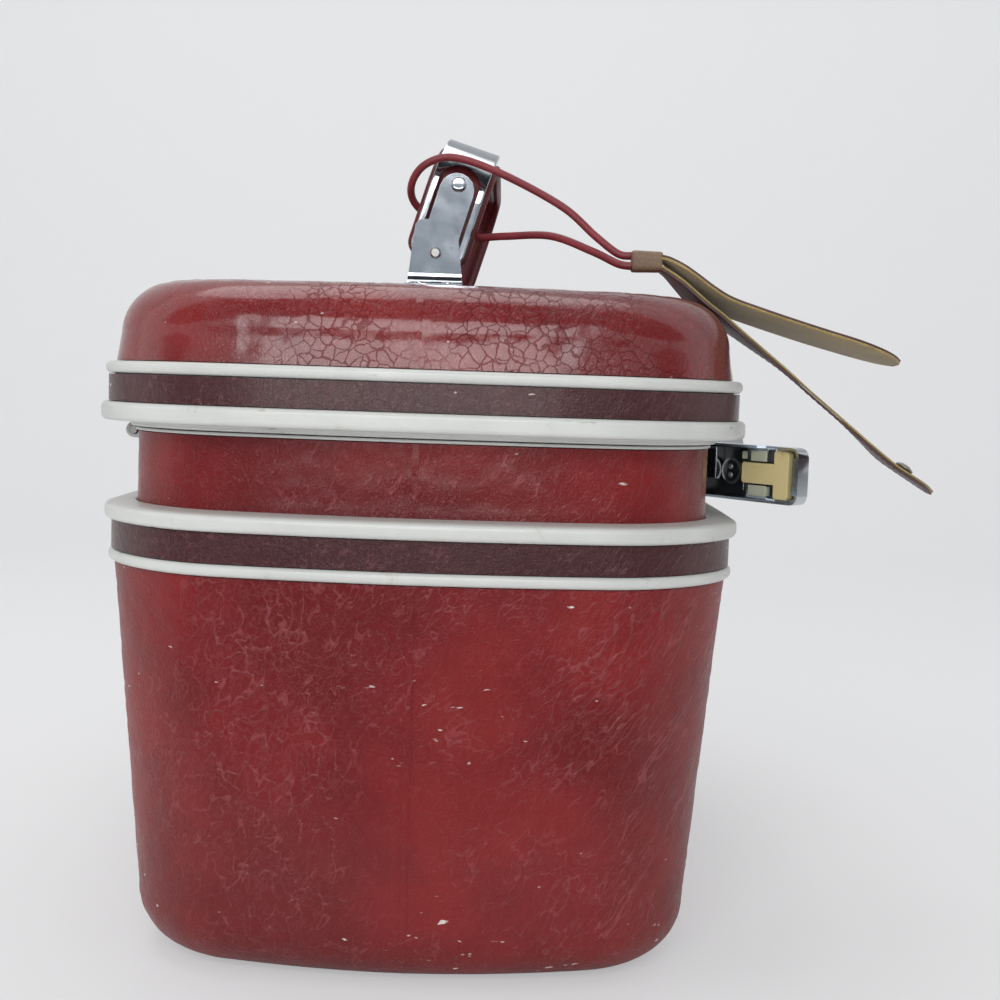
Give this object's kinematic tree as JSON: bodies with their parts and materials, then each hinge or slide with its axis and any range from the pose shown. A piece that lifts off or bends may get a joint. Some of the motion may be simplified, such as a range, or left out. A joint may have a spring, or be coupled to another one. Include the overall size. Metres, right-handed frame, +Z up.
{
  "type": "cosmetic train case",
  "caption": "Upright red vinyl cosmetic train case with pale rims, a back-hinged lid with a mirror, swinging chrome latches, a swing handle and a tied leather tag.",
  "frame": {"origin": "middle of the flat underside", "axes": "+X towards the front where the latches are, +Y along the case's length, +Z up"},
  "size_m": [0.309, 0.3468, 0.3077],
  "materials": {
    "base_shell": "grained red vinyl over a moulded shell",
    "base_frame": "satin pale grey plastic",
    "base_band": "dark grained vinyl strip",
    "base_lining": "woven lining cloth",
    "recess_collar": "grained red vinyl over a moulded shell",
    "collar_lip": "satin pale grey plastic",
    "hinge_base_leaf_near": "plated steel",
    "hinge_pin_near": "plated steel",
    "hinge_screw_near_1": "plated steel",
    "hinge_screw_near_2": "plated steel",
    "latch_plate_near": "polished chrome, lightly worn",
    "latch_pin_near": "plated steel",
    "hinge_base_leaf_far": "plated steel",
    "hinge_pin_far": "plated steel",
    "hinge_screw_far_1": "plated steel",
    "hinge_screw_far_2": "plated steel",
    "latch_plate_far": "polished chrome, lightly worn",
    "latch_pin_far": "plated steel",
    "lid_frame": "satin pale grey plastic",
    "lid_shell": "grained red vinyl over a moulded shell",
    "lid_band": "dark grained vinyl strip",
    "lid_lining": "woven lining cloth",
    "lid_mirror": "silvered glass",
    "mirror_rim": "satin pale grey plastic",
    "hinge_lid_leaf_near": "plated steel",
    "latch_keeper_near": "aged cream nylon",
    "handle_foot_near": "polished chrome, lightly worn",
    "handle_pin_near": "plated steel",
    "foot_screw_near_1": "polished chrome, lightly worn",
    "foot_screw_near_2": "polished chrome, lightly worn",
    "hinge_lid_leaf_far": "plated steel",
    "latch_keeper_far": "aged cream nylon",
    "handle_foot_far": "polished chrome, lightly worn",
    "handle_pin_far": "plated steel",
    "foot_screw_far_1": "polished chrome, lightly worn",
    "foot_screw_far_2": "polished chrome, lightly worn",
    "tag_cord": "round woven cord",
    "tag_clasp": "smooth brown leather",
    "tag_upper_leaf": "suede inner face",
    "tag_lower_leaf": "smooth brown leather",
    "tag_snap": "plated steel",
    "handle_grip": "stitched burgundy leather",
    "handle_cap_near": "polished chrome, lightly worn",
    "handle_link_near": "polished chrome, lightly worn",
    "handle_rivet_near": "polished chrome, lightly worn",
    "handle_cap_far": "polished chrome, lightly worn",
    "handle_link_far": "polished chrome, lightly worn",
    "handle_rivet_far": "polished chrome, lightly worn",
    "latch_cover_near": "polished chrome, lightly worn",
    "latch_slide_near": "aged cream nylon",
    "lock_barrel_near": "plated steel",
    "latch_cover_far": "polished chrome, lightly worn",
    "latch_slide_far": "aged cream nylon",
    "lock_barrel_far": "plated steel"
  },
  "bodies": {
    "base": {"base_shell": "base_shell", "base_frame": "base_frame", "base_band": "base_band", "base_lining": "base_lining", "recess_collar": "recess_collar", "collar_lip": "collar_lip", "hinge_base_leaf_near": "hinge_base_leaf_near", "hinge_pin_near": "hinge_pin_near", "hinge_screw_near_1": "hinge_screw_near_1", "hinge_screw_near_2": "hinge_screw_near_2", "latch_plate_near": "latch_plate_near", "latch_pin_near": "latch_pin_near", "hinge_base_leaf_far": "hinge_base_leaf_far", "hinge_pin_far": "hinge_pin_far", "hinge_screw_far_1": "hinge_screw_far_1", "hinge_screw_far_2": "hinge_screw_far_2", "latch_plate_far": "latch_plate_far", "latch_pin_far": "latch_pin_far"},
    "lid": {"lid_frame": "lid_frame", "lid_shell": "lid_shell", "lid_band": "lid_band", "lid_lining": "lid_lining", "lid_mirror": "lid_mirror", "mirror_rim": "mirror_rim", "hinge_lid_leaf_near": "hinge_lid_leaf_near", "latch_keeper_near": "latch_keeper_near", "handle_foot_near": "handle_foot_near", "handle_pin_near": "handle_pin_near", "foot_screw_near_1": "foot_screw_near_1", "foot_screw_near_2": "foot_screw_near_2", "hinge_lid_leaf_far": "hinge_lid_leaf_far", "latch_keeper_far": "latch_keeper_far", "handle_foot_far": "handle_foot_far", "handle_pin_far": "handle_pin_far", "foot_screw_far_1": "foot_screw_far_1", "foot_screw_far_2": "foot_screw_far_2", "tag_cord": "tag_cord", "tag_clasp": "tag_clasp", "tag_upper_leaf": "tag_upper_leaf", "tag_lower_leaf": "tag_lower_leaf", "tag_snap": "tag_snap"},
    "handle": {"handle_grip": "handle_grip", "handle_cap_near": "handle_cap_near", "handle_link_near": "handle_link_near", "handle_rivet_near": "handle_rivet_near", "handle_cap_far": "handle_cap_far", "handle_link_far": "handle_link_far", "handle_rivet_far": "handle_rivet_far"},
    "latch_near": {"latch_cover_near": "latch_cover_near"},
    "slide_near": {"latch_slide_near": "latch_slide_near"},
    "lock_near": {"lock_barrel_near": "lock_barrel_near"},
    "latch_far": {"latch_cover_far": "latch_cover_far"},
    "slide_far": {"latch_slide_far": "latch_slide_far"},
    "lock_far": {"lock_barrel_far": "lock_barrel_far"}
  },
  "joints": [
    {"name": "lid_hinge", "type": "hinge", "parent": "base", "child": "lid", "pos_m": [-0.11, 0, 0.1885], "axis": [0, -1, 0], "range_deg": [0, 100]},
    {"name": "handle_swing", "type": "hinge", "parent": "lid", "child": "handle", "pos_m": [0, 0, 0.2602], "axis": [0, 1, 0], "range_deg": [-77, 43], "deforming": ["tag_cord"]},
    {"name": "latch_near_hinge", "type": "hinge", "parent": "base", "child": "latch_near", "pos_m": [0.1096, -0.031, 0.1778], "axis": [0, 0, 1], "range_deg": [-37, 53]},
    {"name": "slide_near_travel", "type": "slide", "parent": "latch_near", "child": "slide_near", "axis": [0.6018, -0.7986, 0], "range_m": [0, 0.003], "stiffness_N_per_m": 120},
    {"name": "lock_near_turn", "type": "hinge", "parent": "latch_near", "child": "lock_near", "pos_m": [0.12422, -0.04541, 0.1778], "axis": [0.7986, 0.6018, 0], "range_deg": [0, 90]},
    {"name": "latch_far_hinge", "type": "hinge", "parent": "base", "child": "latch_far", "pos_m": [0.1096, 0.031, 0.1778], "axis": [0, 0, -1], "range_deg": [-37, 53]},
    {"name": "slide_far_travel", "type": "slide", "parent": "latch_far", "child": "slide_far", "axis": [0.6018, 0.7986, 0], "range_m": [0, 0.003], "stiffness_N_per_m": 120},
    {"name": "lock_far_turn", "type": "hinge", "parent": "latch_far", "child": "lock_far", "pos_m": [0.12422, 0.04541, 0.1778], "axis": [0.7986, -0.6018, 0], "range_deg": [0, 90]}
  ]
}
